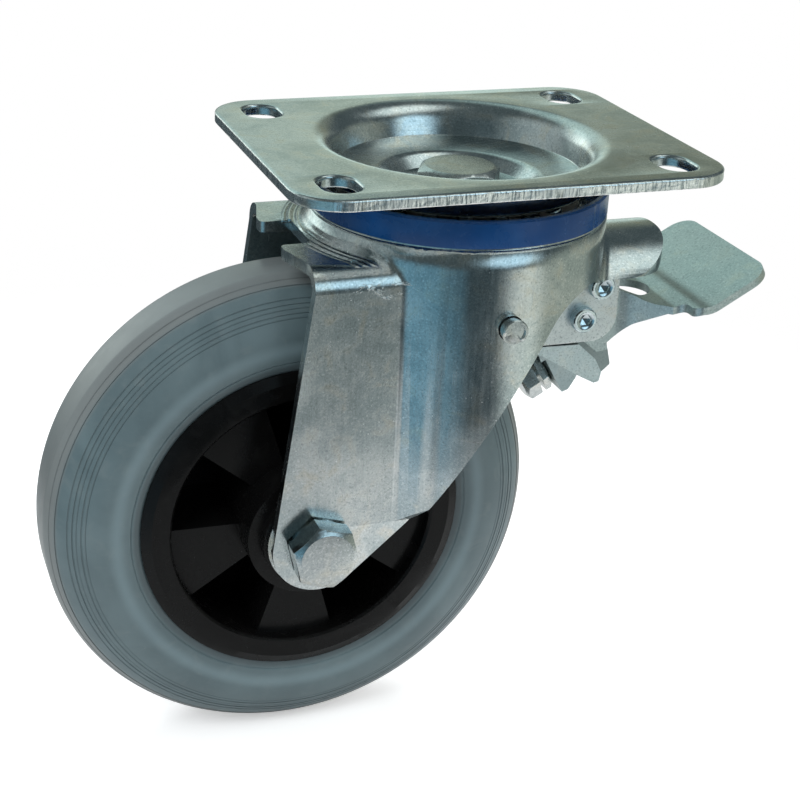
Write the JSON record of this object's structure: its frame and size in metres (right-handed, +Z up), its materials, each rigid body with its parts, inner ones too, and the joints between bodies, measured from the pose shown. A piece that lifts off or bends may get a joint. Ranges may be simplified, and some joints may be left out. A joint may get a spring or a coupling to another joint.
{
  "type": "swivel castor",
  "caption": "Swivel castor with a slotted top plate, ball race, pressed steel fork, grey rubber wheel on rollers and a foot brake.",
  "frame": {"origin": "centre of the top plate's mounting face, on the swivel axis", "axes": "+Z up out of the plate along the swivel axis, +X towards the brake pedal along the plate's long side, with the wheel trailing towards -X"},
  "size_m": [0.2352, 0.11, 0.1972],
  "materials": {
    "zinc_sheet": "zinc plated pressed sheet, satin",
    "fastener": "bright zinc plated",
    "race_steel": "ground and polished",
    "cast_zinc": "dull zinc plated casting",
    "blue_plastic": "moulded, satin",
    "black_plastic": "moulded, satin",
    "cage_plastic": "moulded",
    "grey_rubber": "moulded, satin"
  },
  "bodies": {
    "plate": {"top_plate": "zinc_sheet", "king_bolt": "fastener", "king_nut": "fastener", "lower_race": "race_steel"},
    "upper_ball_ring": {"upper_balls": "race_steel", "upper_ball_cage": "cage_plastic"},
    "lower_ball_ring": {"lower_balls": "race_steel", "lower_ball_cage": "cage_plastic"},
    "fork": {"fork": "zinc_sheet", "dust_ring": "blue_plastic", "axle_bolt": "fastener", "axle_nut": "fastener", "axle_nut_washer": "fastener", "axle_tube": "race_steel", "thrust_washer_near": "fastener", "thrust_washer_far": "fastener", "pivot_pin": "fastener", "pivot_spacer_near": "fastener", "pivot_spacer_far": "fastener"},
    "wheel": {"tyre": "grey_rubber", "rim": "black_plastic"},
    "roller_ring": {"rollers": "race_steel", "roller_cage": "cage_plastic"},
    "brake": {"brake_pedal": "zinc_sheet", "cheek_plate_near": "zinc_sheet", "cheek_plate_far": "zinc_sheet", "cheek_screw_near_upper": "fastener", "cheek_screw_near_lower": "fastener", "cheek_screw_far_upper": "fastener", "cheek_screw_far_lower": "fastener", "brake_shoe": "cast_zinc", "adjuster_screw": "fastener", "adjuster_nut": "fastener"}
  },
  "joints": [
    {"name": "swivel", "type": "hinge", "parent": "plate", "child": "fork", "pos_m": [0, 0, 0], "axis": [0, 0, 1], "continuous": true},
    {"name": "upper_ball_orbit", "type": "hinge", "parent": "plate", "child": "upper_ball_ring", "pos_m": [0, 0, 0], "axis": [0, 0, 1], "continuous": true},
    {"name": "lower_ball_orbit", "type": "hinge", "parent": "plate", "child": "lower_ball_ring", "pos_m": [0, 0, 0], "axis": [0, 0, 1], "continuous": true},
    {"name": "wheel_spin", "type": "hinge", "parent": "fork", "child": "wheel", "pos_m": [-0.0541, 0, -0.11719], "axis": [0, 1, 0], "continuous": true},
    {"name": "roller_orbit", "type": "hinge", "parent": "fork", "child": "roller_ring", "pos_m": [-0.0541, 0, -0.11719], "axis": [0, 1, 0], "continuous": true},
    {"name": "brake_press", "type": "hinge", "parent": "fork", "child": "brake", "pos_m": [0, 0, -0.04549], "axis": [0, 1, 0], "range_deg": [0, 6.8]}
  ],
  "couplings": [
    {"joint": "upper_ball_orbit", "follows": "swivel", "ratio": 0.5},
    {"joint": "lower_ball_orbit", "follows": "swivel", "ratio": 0.5},
    {"joint": "roller_orbit", "follows": "wheel_spin", "ratio": 0.584}
  ]
}
